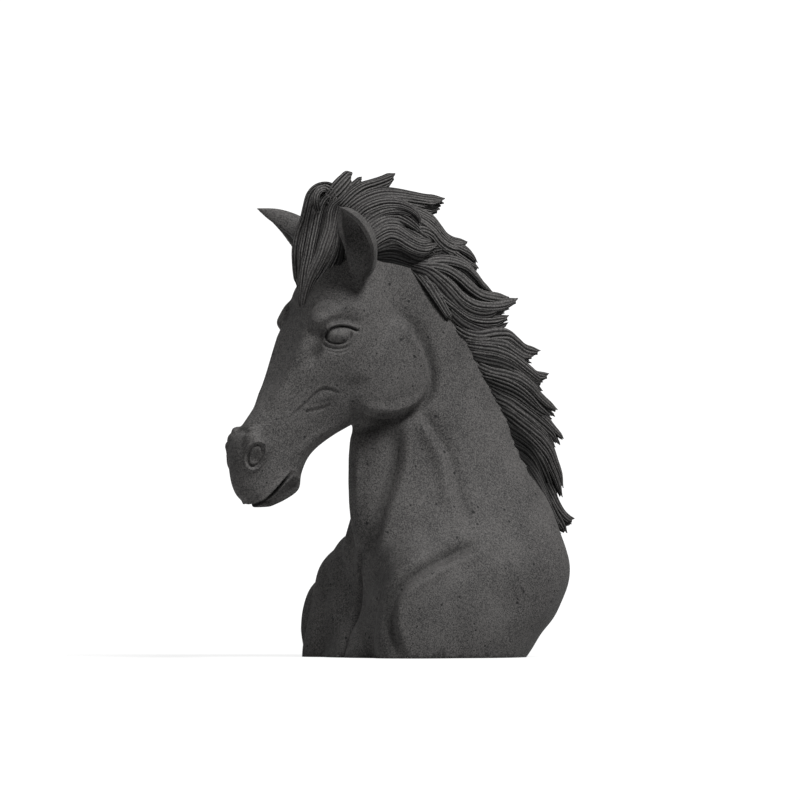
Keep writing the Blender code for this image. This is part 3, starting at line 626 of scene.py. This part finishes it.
FALL_LOCKS = (
    ((11, 811, 39, 807, 66, 795, 91, 776, 113, 756, 136, 743), 4.6, 1.2, 4.2, 0.4),
    ((47, 815, 70, 805, 91, 791, 109, 772, 126, 754), 3.4, 0.8, 3.6, 0.6),
    ((2, 809, 31, 815, 60, 813, 87, 803, 107, 784, 123, 764, 140, 749), 5.2, 2.0, 3.0, 0.6),
    ((-6, 805, 23, 805, 50, 797, 74, 780, 95, 760, 117, 745, 140, 739, 173, 735), 5.6, 2.0, 3.0, 0.4),
    ((-16, 801, 11, 797, 35, 782, 58, 762, 80, 739, 105, 725, 134, 721, 160, 723, 191, 731), 5.8, 2.0, 3.0,
     0.2),
    ((-20, 797, 4, 789, 29, 768, 54, 743, 76, 721, 99, 708, 123, 704, 144, 708, 160, 717), 6.0, 3.0, 2.5,
     -0.3),
    ((-10, 789, 15, 768, 35, 743, 62, 719, 89, 698, 117, 690, 144, 690, 173, 696), 5.6, 2.6, 3.0, 0.5),
    ((-19, 804, -2, 784, 15, 760, 31, 734, 46, 708, 61, 686), None, 5.4, 4.4, 0.5),
    ((60, 704, 78, 688, 101, 676, 126, 669, 148, 671, 171, 682), 6.0, 3.0, 2.2, -0.3),
    ((66, 678, 87, 665, 115, 659, 146, 663, 173, 661, 191, 647, 210, 632, 236, 626), None, 2.0, 3.3, 0.3),
    ((82, 655, 109, 651, 138, 649, 167, 645, 187, 632, 206, 620, 224, 616), None, 2.8, 2.5, 0.1),
    ((91, 643, 117, 639, 148, 634, 177, 622, 199, 606, 220, 589, 236, 577, 255, 577), None, 2.0, 3.2, 0.4),
    ((95, 630, 121, 626, 152, 620, 179, 608, 201, 591, 222, 575, 243, 563), None, 2.6, 2.5, 0.1),
    ((101, 616, 128, 608, 154, 602, 181, 591, 204, 575, 224, 559, 241, 546), None, 3.0, 2.5, -0.35),
    ((111, 600, 138, 589, 169, 583, 197, 573, 220, 556, 236, 538, 253, 522, 273, 507), None, 2.0, 3.2, 0.4),
    ((119, 581, 146, 575, 175, 567, 199, 554, 220, 536, 238, 515, 261, 495), None, 2.4, 2.8, 0.2),
    ((128, 565, 152, 556, 177, 546, 199, 532, 220, 513, 238, 499, 259, 487), None, 3.2, 2.8, -0.3),
    ((232, 505, 251, 491, 267, 472, 280, 458, 288, 448), 3.4, 1.8, 2.2, 0.3),
    ((136, 548, 156, 536, 181, 524, 206, 507, 228, 491, 249, 474, 265, 458, 275, 441), None, 2.6, 2.5, -0.1),
    ((146, 530, 169, 520, 193, 503, 216, 487, 236, 470, 255, 452, 269, 431), None, 2.4, 2.5, 0.0),
    ((156, 511, 179, 499, 201, 483, 224, 466, 245, 448, 261, 425, 271, 400, 280, 376, 286, 351), None, 2.0,
     3.2, 0.2),
    ((167, 491, 189, 474, 212, 456, 232, 437, 251, 415, 263, 390, 273, 366, 284, 331), None, 2.2, 3.0, 0.1),
    ((175, 470, 197, 454, 218, 435, 236, 415, 249, 392, 259, 368, 269, 341), None, 2.8, 2.5, -0.25),
    ((181, 452, 201, 439, 220, 423, 234, 402, 245, 380, 253, 355), None, 3.8, 2.2, -0.5),
    ((189, 433, 210, 419, 226, 400, 236, 380, 245, 357, 255, 337), None, 4.4, 1.9, -0.4),
    ((197, 415, 216, 398, 230, 378, 243, 353, 255, 329, 267, 306), None, 4.0, 2.2, -0.25),
    ((212, 388, 226, 366, 241, 341, 255, 316, 267, 294, 280, 271), None, 3.6, 2.2, 0.0),
    ((253, 359, 263, 337, 273, 314, 286, 294, 298, 283, 307, 280), 3.4, 1.8, 3.0, 0.3),
    ((249, 343, 261, 318, 271, 296, 282, 276, 292, 257), 3.6, 2.2, 3.2, 0.0),
)
FAR_SIDE_DROP = 2.2
BELLY = 0.8
BURIED = 2.4
LOCK_RINGS = 56
SKIN_SURFACE = BVHTree.FromObject(skin, bpy.context.evaluated_depsgraph_get())


def on_the_skin(across, up):
    """How far out the left side of the skin lies where a sight line of the three-quarter view meets it."""
    start = across * RIGHTWARDS + (0, 0, up) + 100 * TOWARDS_EYE
    hit = SKIN_SURFACE.ray_cast(start * SHARE, -TOWARDS_EYE)[0]
    return hit.x / SHARE


def evenly(points):
    """The spline through the points at even steps along it, as one array for each column."""
    line = spline(points, 16)
    steps = np.insert(np.cumsum(np.linalg.norm(np.diff(line, axis=0), axis=1)), 0, 0)
    return [np.interp(np.linspace(0, 1, LOCK_RINGS) * steps[-1], steps, column) for column in line.T]


def depth_at(out, across):
    """y = (across - x cos) / sin of the view's angle."""
    return (across - out * math.cos(THREE_QUARTER)) / math.sin(THREE_QUARTER)


def path_of(row, side):
    """A lock's path, bulging out by BELLY on the way; its root sinks into the neck.

    side is 1 on the left and -1 on the right, and between them near the middle of the crest."""
    line = np.reshape(row[0], (-1, 2)) / 10
    out_root, out_tip = row[1:3]
    if out_root is None:
        out_root = on_the_skin(*line[0]) - 0.4
    t = np.linspace(0, 1, LOCK_RINGS)
    across, up = evenly(np.vstack([line[0] - BURIED * unit(line[1] - line[0]), line]))
    out = out_root + (out_tip - out_root) * t**1.5 + BELLY * abs(side) * np.sin(math.pi * t)
    out = out - BURIED * np.clip(1 - t / 0.2, 0, 1) ** 2 * abs(side)
    drop = FAR_SIDE_DROP * (1 - side) / 2
    return np.column_stack([side * out, depth_at(out, across) - drop / 2, up - drop])


# %% [markdown]
# Hair in stone is drawn with a small gouge. Its cut is narrow and sharp at the bottom and leaves a
# rounded ridge on either side, which a sine raised to a power below one gives. No two cuts are
# alike, so each groove has its own depth and each strand its own height and its own length, from
# one seeded generator.

# %% One lock
GROOVE = 0.75
LENS = 0.5
NARROWING = 0.75
FRAY = 0.05
SLANT = 0.34
# Darkening of the hair: an even share on all of it, then painted shade lower on the neck and at the low
# roots.
DIRT_ON_HAIR = 0.08
PAINTED_SHADE_ON_LOW_HAIR = 0.2
PAINTED_SHADE_AT_LOW_ROOTS = 0.65
FACES_ROOT = np.array((1.0, 0.0, 0.0))
FACES_TIP = np.array((0.85, 0.6, 0.1))


def strands_across(turn, t, count, rng):
    """Ridges |sin(pi p)|^0.7, where p counts strands across the lens, and how far each strand reaches."""
    phase = rng.uniform(0, 2 * math.pi, 3)
    p = count * (turn + 0.03 * np.sin(math.pi * turn) * np.sin(4 * t + phase[0]))
    p = p + 0.3 * np.sin(3 * t + phase[1]) * np.sin(math.pi * turn)
    index = np.clip(np.floor(p).astype(int), 0, count)
    deep, high = rng.uniform(0.45, 1, count + 2), rng.uniform(-0.25, 0.25, count + 1)
    reach = rng.uniform(-1, 1, count + 1)[index]
    groove = np.where(p - index < 0.5, deep[index], deep[index + 1])
    ridge = np.abs(np.sin(math.pi * p)) ** 0.7
    return groove * (ridge - 1) + high[index] * ridge, reach * ridge, groove * (1 - ridge**2)


def lock(path, width, side, seed, tilt, strand, shade):
    """A lens of half width h(t): across h cos(a), outwards LENS h sin(a), with grooves along it.

    Its tip is cut off at a slant, and the strands end at slightly different lengths. The points come
    with their share of painted shade: in the grooves, at the lens's two edges, at the root, on locks
    that face down and lower on the neck, over an even darkening of all hair. tilt is how much the lock
    faces up, or the direction it faces."""
    rng = np.random.default_rng(seed)
    count = max(2, round(1.3 * width / strand))
    t = np.linspace(0, 1, LOCK_RINGS)[:, None]
    heading = unit(np.gradient(path, axis=0))
    faces = tilt if np.ndim(tilt) else (FACES_ROOT * (1 - t) + FACES_TIP * t + (0, 0, tilt)) * (side, 1, 1)
    across = unit(np.cross(heading, faces))
    outwards = np.cross(across, heading)

    outer = np.linspace(0, math.pi, 7 * count, endpoint=False)
    inner = np.linspace(math.pi, 2 * math.pi, 8, endpoint=False)
    angle = np.concatenate([outer, inner])[None]
    height, reach, cut = strands_across(np.clip(angle / math.pi, 0, 1), t, count, rng)
    half = width / 2 * (0.75 + 0.25 * np.sin(math.pi * t)) * np.sqrt(1 - NARROWING * ramp(t, 0.9, 1))
    top = ramp(np.sin(angle), -0.3, 0.1)
    relief_height = np.minimum(GROOVE, 0.36 * half) * height * top
    normal = unit(np.stack([LENS * np.cos(angle), np.sin(angle)], -1))
    sideways = half * np.cos(angle) + relief_height * normal[..., 0]
    upwards = LENS * half * np.sin(angle) + relief_height * normal[..., 1]
    ahead = width * (FRAY * reach - SLANT * np.cos(angle)) * ramp(t, 0.8, 1) * top
    points = (path[:, None] + sideways[..., None] * across[:, None] + upwards[..., None] * outwards[:, None]
              + ahead[..., None] * heading[:, None])
    # Painted shade: dark in the grooves, on the lens's edges and underside, at the root, on locks that face
    # down and lower on the neck.
    below = 1 - ramp(path[:, 2:3], 35, 72)
    low = DIRT_ON_HAIR + shade + below * (PAINTED_SHADE_ON_LOW_HAIR + PAINTED_SHADE_AT_LOW_ROOTS * (1 - ramp(t, 0.1, 0.6)))
    hollow = 1.2 * cut + (1 - ramp(np.sin(angle), -0.1, 0.6)) + 0.6 * (1 - ramp(t, 0, 0.25)) + low
    return points, np.clip(hollow, 0, 1)


# %% [markdown]
# The right side is the left one mirrored, but it hangs a little lower and its grooves are cut anew.
# A third row runs along the crest: it repeats every lock whose tip comes near the middle, broader and
# by turns a little left and a little right of it, so the two sides meet there without a parting.

# %% The whole mane
CREST_FACES = np.array((0.0, 0.75, 0.65))
CREST_SIDES = (0.4, -0.7)
CREST_BREADTH = 1.9
NEAR_THE_MIDDLE = 3.0


def hair(name, paths, side, seed, strand):
    """One mesh of locks, each from a path, a width, a tilt and a painted shade, kept as hollow values."""
    made = [lock(path, width, side, seed + k, tilt, strand, shade)
            for k, (path, width, tilt, shade) in enumerate(paths)]
    obj = placed(name, mesh_of(name, [points for points, _ in made]))
    caps = np.array([0.0, 0.0])
    with_painted_shade(obj.data, np.concatenate([part for _, hollow in made for part in (hollow.ravel(), caps)]))
    print(name, len(made), "locks,", len(obj.data.loop_triangles), "triangles")
    return obj


def mane_part(name, rows, side, seed, strand):
    """Locks that face down lie in the shade of the others, so more shade is painted on them."""
    return hair(name, [(path_of(row, side), *row[3:], max(0.0, -row[4])) for row in rows], side, seed, strand)


crest_rows = [row for row in CROWN_LOCKS[3:] + FALL_LOCKS if row[2] <= NEAR_THE_MIDDLE]
crest_paths = [(path_of(row, CREST_SIDES[k % 2]), row[3] * CREST_BREADTH, CREST_FACES, 0.0)
               for k, row in enumerate(crest_rows)]
mane = [
    mane_part("crown_left", CROWN_LOCKS, 1, 100, 0.65),
    mane_part("crown_right", CROWN_LOCKS, -1, 200, 0.65),
    mane_part("fall_left", FALL_LOCKS, 1, 300, 0.8),
    mane_part("fall_right", FALL_LOCKS, -1, 400, 0.8),
    hair("crest", crest_paths, 1, 500, 1.0),
]

# %% [markdown]
# The forelock falls between the ears onto the forehead. Its strands are finer than the mane's, and
# they run together to one point. It is made of the same locks, which face forwards instead.

# %% The forelock
# Points in thousandths (across, up and x by turns), the width and the painted shade.
FORELOCK_LOCKS = (
    ((-168, 864, 46, -169, 840, 47, -174, 816, 46, -184, 792, 42, -196, 772, 36, -212, 756, 29), 2.6, 0.8),
    ((-214, 914, 19, -219, 936, 18, -214, 953, 16, -201, 960, 15, -189, 954, 17, -182, 940, 21, -189, 926,
     24), 1.8, 0.0),
    ((-180, 957, 6, -197, 963, 0, -215, 959, -8, -228, 945, -16, -234, 922, -22, -240, 895, -26, -250, 867,
     -30, -256, 836, -30, -256, 805, -28, -254, 778, -22, -250, 749, -14), 2.9, 0.0),
    ((-178, 951, 12, -195, 955, 8, -209, 949, 2, -219, 934, -4, -226, 914, -8, -232, 889, -10, -238, 860,
     -10, -244, 832, -9, -246, 803, -8, -248, 774, -6, -250, 741, -3), 2.7, 0.0),
    ((-176, 945, 18, -191, 947, 16, -203, 938, 14, -211, 922, 11, -217, 901, 9, -222, 877, 8, -228, 850, 8,
     -234, 821, 7, -240, 795, 6, -244, 768, 5, -248, 739, 4, -250, 717, 3), 2.7, 0.0),
    ((-174, 936, 28, -185, 926, 28, -191, 910, 29, -193, 891, 30, -197, 871, 30, -205, 846, 29, -213, 821,
     26, -224, 797, 22, -234, 772, 17, -242, 745, 12, -248, 715, 7), 2.4, 0.0),
    ((-174, 924, 36, -178, 908, 38, -182, 887, 40, -187, 864, 39, -195, 840, 36, -205, 815, 31, -217, 791,
     25, -230, 768, 19, -240, 741, 12), 2.4, 0.0),
    ((-176, 881, 46, -178, 860, 46, -182, 838, 44, -191, 815, 40, -201, 795, 34, -215, 772, 27, -230, 752,
     19), 1.9, 0.0),
    ((-174, 844, 49, -178, 823, 48, -187, 803, 44, -197, 784, 38, -211, 766, 30, -226, 749, 22), 1.0, -0.05),
    ((-182, 959, -14, -207, 947, -30, -230, 906, -42, -248, 856, -46, -256, 811, -40, -252, 766, -24), 2.9,
     0.0),
    ((-176, 951, -30, -199, 922, -48, -222, 873, -56, -236, 828, -52, -242, 778, -32), 2.9, 0.0),
)
FORELOCK_FACES = np.array((0.45, -0.85, 0.15))
LESS_DIRT = 0.08


def forelock_path(points):
    across, up, out = evenly(np.reshape(points, (-1, 3)) / 10)
    return np.column_stack([out, depth_at(out, across), up])


forelock = hair("forelock", [(forelock_path(points), width, FORELOCK_FACES, shade - LESS_DIRT)
                             for points, width, shade in FORELOCK_LOCKS], 1, 600, 0.62)

# Sections of the mane's and the forelock's core: inner (y, z), outer (y, z), half width, middle x.
MANE_CORE = (
    (-23.5, 84.0, -22.0, 93.6, 4.2, 0.0),
    (-17.0, 83.0, -15.0, 94.2, 5.0, 0.0),
    (-11.0, 79.0, -3.4, 89.4, 5.6, 0.0),
    (-5.0, 72.0, 5.4, 78.7, 5.6, 0.0),
    (2.0, 65.0, 13.6, 67.0, 5.4, 0.0),
    (8.0, 57.0, 20.4, 58.6, 5.4, 0.0),
    (13.0, 49.0, 25.0, 49.8, 5.6, 0.0),
    (18.0, 40.0, 28.0, 40.8, 5.4, 0.0),
    (24.0, 31.0, 29.8, 32.0, 4.2, 0.0),
    (28.0, 25.0, 30.2, 27.0, 2.2, 0.0),
)
FORELOCK_CORE = (
    (-19.2, 95.4, -17.0, 92.0, 1.6, 0.0),
    (-22.0, 95.0, -18.5, 90.0, 3.0, 0.0),
    (-24.6, 92.8, -19.0, 87.0, 3.9, 0.0),
    (-26.0, 88.4, -20.0, 84.0, 4.2, 0.0),
    (-26.8, 84.0, -22.5, 81.0, 4.1, 0.0),
    (-27.4, 79.6, -24.8, 77.8, 3.2, 0.2),
    (-28.2, 75.6, -27.2, 74.6, 1.8, 0.5),
)


def core(table):
    rows = spline(table, OVAL_STEPS)
    two = np.full(len(rows), 2.0)
    grid = ovals(rows, 0.05 * two, two, two)
    grid[..., 0] += rows[:, None, 5]
    return grid


under_hair = placed("hair_core", mesh_of("hair_core", [core(MANE_CORE), core(FORELOCK_CORE)]))
# The core shows only in the gaps between locks, so it gets an even painted shade.
with_painted_shade(under_hair.data, np.full(len(under_hair.data.vertices), 0.7))

# %% [markdown]
# Cast stone is cement, sand and pigment. Its face shows grains of sand a millimetre or two across,
# slow clouds of tone, and here and there an open air pit. One node group makes these from Object
# coordinates in metres, so that the grain keeps its real size on every piece, and both finishes use
# it with values of their own.

# %% The grain of cast stone
def feed(tree, socket, value):
    """Gives a socket a value, or links it where the value is a socket itself."""
    if isinstance(value, bpy.types.NodeSocket):
        tree.links.new(value, socket)
    else:
        socket.default_value = value


def node(tree, kind, **inputs):
    """A new node with its inputs fed by name, or by number where the name is i0, i1, i2 and so on."""
    made = tree.nodes.new(kind)
    for name, value in inputs.items():
        feed(tree, made.inputs[int(name[1:]) if name[1:].isdigit() else name], value)
    return made


def math_node(tree, operation, a, b=0.0):
    made = node(tree, "ShaderNodeMath", i0=a, i1=b)
    made.operation = operation
    return made.outputs[0]


def fit(tree, value, low, high, to_low=0.0, to_high=1.0):
    """Maps low..high to to_low..to_high in a straight line and clamps."""
    made = node(tree, "ShaderNodeMapRange", i0=value, i1=low, i2=high, i3=to_low, i4=to_high)
    return made.outputs[0]


def mix_colours(tree, share, first, second):
    made = tree.nodes.new("ShaderNodeMix")
    made.data_type = "RGBA"
    for number, value in ((0, share), (6, first), (7, second)):
        feed(tree, made.inputs[number], value)
    return made.outputs[2]


# Scales are cells or waves a metre, radii are shares of a cell, and the bend is in metres.
SAND_SCALE = 700.0
GRAIN_SCALE = 720.0
CLOUD_SCALE = 16.0
PIT_SCALE = 128.0
PIT_RADII = (0.09, 0.26)
BEND_SCALE = 330.0
BEND = 0.0014
# Near-black for the stone's real pits and for painted shade.
PIT_AND_PAINTED_SHADE_COLOUR = (0.003, 0.003, 0.003, 1.0)


def grain_group():
    """Sand, single grains and clouds give the tone; pits are dark and lie deeper, and painted shade darkens.
    """
    tree = bpy.data.node_groups.new("cast stone grain", "ShaderNodeTree")
    sockets = {"INPUT": {"Place": "Vector", "Dark Grain": "Color", "Light Grain": "Color",
                         "Pit Share": "Float", "Painted Shade": "Float"},
               "OUTPUT": {"Colour": "Color", "Roughness": "Float", "Height": "Float"}}
    for way, kinds in sockets.items():
        for name, kind in kinds.items():
            tree.interface.new_socket(name, in_out=way, socket_type="NodeSocket" + kind)
    given = node(tree, "NodeGroupInput")
    place = given.outputs["Place"]

    sand = node(tree, "ShaderNodeTexNoise", Vector=place, Scale=SAND_SCALE, Detail=1.0, Roughness=0.5)
    grains = node(tree, "ShaderNodeTexVoronoi", Vector=place, Scale=GRAIN_SCALE, Randomness=1.0)
    one_grain = node(tree, "ShaderNodeSeparateColor", Color=grains.outputs["Color"]).outputs[0]
    clouds = node(tree, "ShaderNodeTexNoise", Vector=place, Scale=CLOUD_SCALE, Detail=3.0, Roughness=0.5)
    bent = node(tree, "ShaderNodeTexNoise", Vector=place, Scale=BEND_SCALE, Detail=1.0)
    shift = node(tree, "ShaderNodeVectorMath", i0=bent.outputs["Color"], i1=(0.5, 0.5, 0.5))
    shift.operation = "SUBTRACT"
    small = node(tree, "ShaderNodeVectorMath", i0=shift.outputs[0])
    small.operation = "SCALE"
    small.inputs["Scale"].default_value = BEND
    moved = node(tree, "ShaderNodeVectorMath", i0=place, i1=small.outputs[0])
    cells = node(tree, "ShaderNodeTexVoronoi", Vector=moved.outputs[0], Scale=PIT_SCALE, Randomness=1.0)
    chance = node(tree, "ShaderNodeTexWhiteNoise", Vector=cells.outputs["Color"])
    rare = math_node(tree, "POWER", chance.outputs["Value"], 3.0)
    radius = fit(tree, rare, 0.0, 1.0, *PIT_RADII)
    from_rim = math_node(tree, "SUBTRACT", cells.outputs["Distance"], radius)
    inside = fit(tree, from_rim, -0.03, 0.03, 1.0, 0.0)
    one_cell = node(tree, "ShaderNodeSeparateColor", Color=cells.outputs["Color"]).outputs[0]
    chosen = math_node(tree, "LESS_THAN", one_cell, given.outputs["Pit Share"])
    pit = math_node(tree, "MULTIPLY", inside, chosen)

    def times(value, share):
        return math_node(tree, "MULTIPLY", value, share)

    tone = times(fit(tree, sand.outputs[0], 0.34, 0.66), 0.38)
    tone = math_node(tree, "ADD", tone, times(one_grain, 0.42))
    tone = math_node(tree, "ADD", tone, times(fit(tree, clouds.outputs[0], 0.3, 0.7), 0.2))
    tone = fit(tree, tone, 0.2, 0.8)
    clean = mix_colours(tree, tone, given.outputs["Dark Grain"], given.outputs["Light Grain"])
    # The pits and the painted shade from the hollow value mix to the same near-black colour.
    pit_and_shade_share = math_node(tree, "MAXIMUM", times(pit, 0.95), times(given.outputs["Painted Shade"], 0.92))
    dirty = mix_colours(tree, pit_and_shade_share, clean, PIT_AND_PAINTED_SHADE_COLOUR)

    height = math_node(tree, "ADD", times(sand.outputs[0], 0.6), times(one_grain, 0.3))
    height = math_node(tree, "SUBTRACT", height, times(pit, 1.6))
    dull = fit(tree, sand.outputs[0], 0.3, 0.7, 0.72, 0.88)
    node(tree, "NodeGroupOutput", Colour=dirty, Roughness=dull, Height=height)
    return tree


GRAIN_OF_STONE = grain_group()


def stone(name, dark, light, pits, depth):
    """A matte stone whose grain runs from the dark to the light colour; painted shade darkens it and dulls
    its gloss.
    """
    material = bpy.data.materials.new(name)
    material.use_nodes = True
    tree = material.node_tree
    shader = tree.nodes["Principled BSDF"]
    place = node(tree, "ShaderNodeTexCoord").outputs["Object"]
    group = node(tree, "ShaderNodeGroup")
    group.node_tree = GRAIN_OF_STONE
    attribute = node(tree, "ShaderNodeAttribute")
    attribute.attribute_name = "hollow"
    hollow = attribute.outputs["Fac"]
    for name, value in (("Place", place), ("Painted Shade", hollow), ("Dark Grain", (*dark, 1.0)),
                        ("Light Grain", (*light, 1.0)), ("Pit Share", pits)):
        feed(tree, group.inputs[name], value)
    bump = node(tree, "ShaderNodeBump", Height=group.outputs["Height"], Strength=0.6, Distance=depth)
    gloss = fit(tree, hollow, 0.0, 1.0, 0.3, 0.06)
    for name, value in (("Base Color", group.outputs["Colour"]), ("Roughness", group.outputs["Roughness"]),
                        ("Normal", bump.outputs["Normal"]), ("Specular IOR Level", gloss)):
        feed(tree, shader.inputs[name], value)
    return material


# Name, dark grain, light grain, share of pits, and the relief's depth in metres.
SKIN_STONE = stone("charcoal cast stone", (0.010, 0.0095, 0.0095), (0.066, 0.0630, 0.061), 0.4, 0.0004)
HAIR_STONE = stone("gouged charcoal stone", (0.023, 0.0219, 0.0219), (0.102, 0.0978, 0.095), 0.04, 0.0003)
skin.data.materials.clear()
for piece in (skin, *mane, forelock, under_hair):
    piece.data.materials.append(SKIN_STONE if piece == skin else HAIR_STONE)
    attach(piece, "root")
    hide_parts("knight_bust")

# %% [markdown]
# The picture is a plain studio one: a pale floor, a big soft key light from the horse's left and
# above, a weak fill from the front and another from the far side. Sun lamps with a wide angle give
# soft shadows that don't change with distance, so the floor stays evenly pale from every side.

# %% Floor and light
FLOOR_RADIUS = 3.0

angle = np.linspace(0, 2 * math.pi, 96, endpoint=False)
edge = np.column_stack([np.cos(angle), np.sin(angle), np.zeros(96)]) * FLOOR_RADIUS
floor_mesh = bpy.data.meshes.new("floor")
floor_mesh.from_pydata(edge.tolist(), [], [tuple(range(96))])
floor = added("floor", floor_mesh)
paper = bpy.data.materials.new("pale studio paper")
paper.use_nodes = True
tree = paper.node_tree
diffuse = tree.nodes["Principled BSDF"]
diffuse.inputs["Base Color"].default_value = (0.5, 0.5, 0.5, 1)
diffuse.inputs["Roughness"].default_value = 0.9
glow = node(tree, "ShaderNodeEmission", Strength=1.05)
eye = node(tree, "ShaderNodeLightPath").outputs["Is Camera Ray"]
glowing = math_node(tree, "MULTIPLY", eye, 0.8)
washed = node(tree, "ShaderNodeMixShader", i0=glowing, i1=diffuse.outputs[0], i2=glow.outputs[0])
feed(tree, tree.nodes["Material Output"].inputs["Surface"], washed.outputs[0])
floor_mesh.materials.append(paper)


def lamp(name, azimuth, elevation, strength, spread):
    """A sun lamp that shines from an azimuth, counted from the horse's front to its left."""
    light = bpy.data.lights.new(name, "SUN")
    light.energy = strength
    light.angle = math.radians(spread)
    added(name, light).rotation_euler = (math.radians(90 - elevation), 0, math.radians(azimuth))


lamp("key", 107, 55, 6.4, 20)
lamp("front fill", 15, 48, 0.5, 50)
lamp("far fill", -75, 55, 0.8, 50)

sky = bpy.data.worlds.new("studio")
sky.use_nodes = True
bpy.context.scene.world = sky
tree = sky.node_tree
around = tree.nodes["Background"]
around.inputs["Strength"].default_value = 0.105
around.inputs["Color"].default_value = (1, 1, 1, 1)
seen_white = node(tree, "ShaderNodeBackground", Color=(1, 1, 1, 1), Strength=1.1)
eye = node(tree, "ShaderNodeLightPath").outputs["Is Camera Ray"]
choice = node(tree, "ShaderNodeMixShader", i0=eye, i1=around.outputs[0], i2=seen_white.outputs[0])
feed(tree, tree.nodes["World Output"].inputs["Surface"], choice.outputs[0])
bpy.context.scene.view_settings.view_transform = "Standard"

# %% [markdown]
# A long lens from 24 metres away, level with the middle of the bust and 58 degrees round to the
# horse's left, gives the calm view of a catalogue: hardly any perspective, both ears, both brows.

# %% Camera
# Metres to the camera, metres a pixel, the sensor in millimetres, the picture's width in pixels, and
# the point aimed at, in pixels to the right of the origin and above it.
AWAY = 24.0
ONE_PIXEL = 0.00125
SENSOR = 36.0
PICTURE = 800
AIM = (-22.9, 257)

camera_data = bpy.data.cameras.new("camera")
camera_data.sensor_width = SENSOR
camera_data.lens = SENSOR * AWAY / ONE_PIXEL / PICTURE
camera = added("camera", camera_data)
aim = RIGHTWARDS * (AIM[0] * ONE_PIXEL) + (0, 0, AIM[1] * ONE_PIXEL)
camera.location = aim + TOWARDS_EYE * AWAY
camera.rotation_euler = (math.radians(90), 0, THREE_QUARTER)
bpy.context.scene.camera = camera
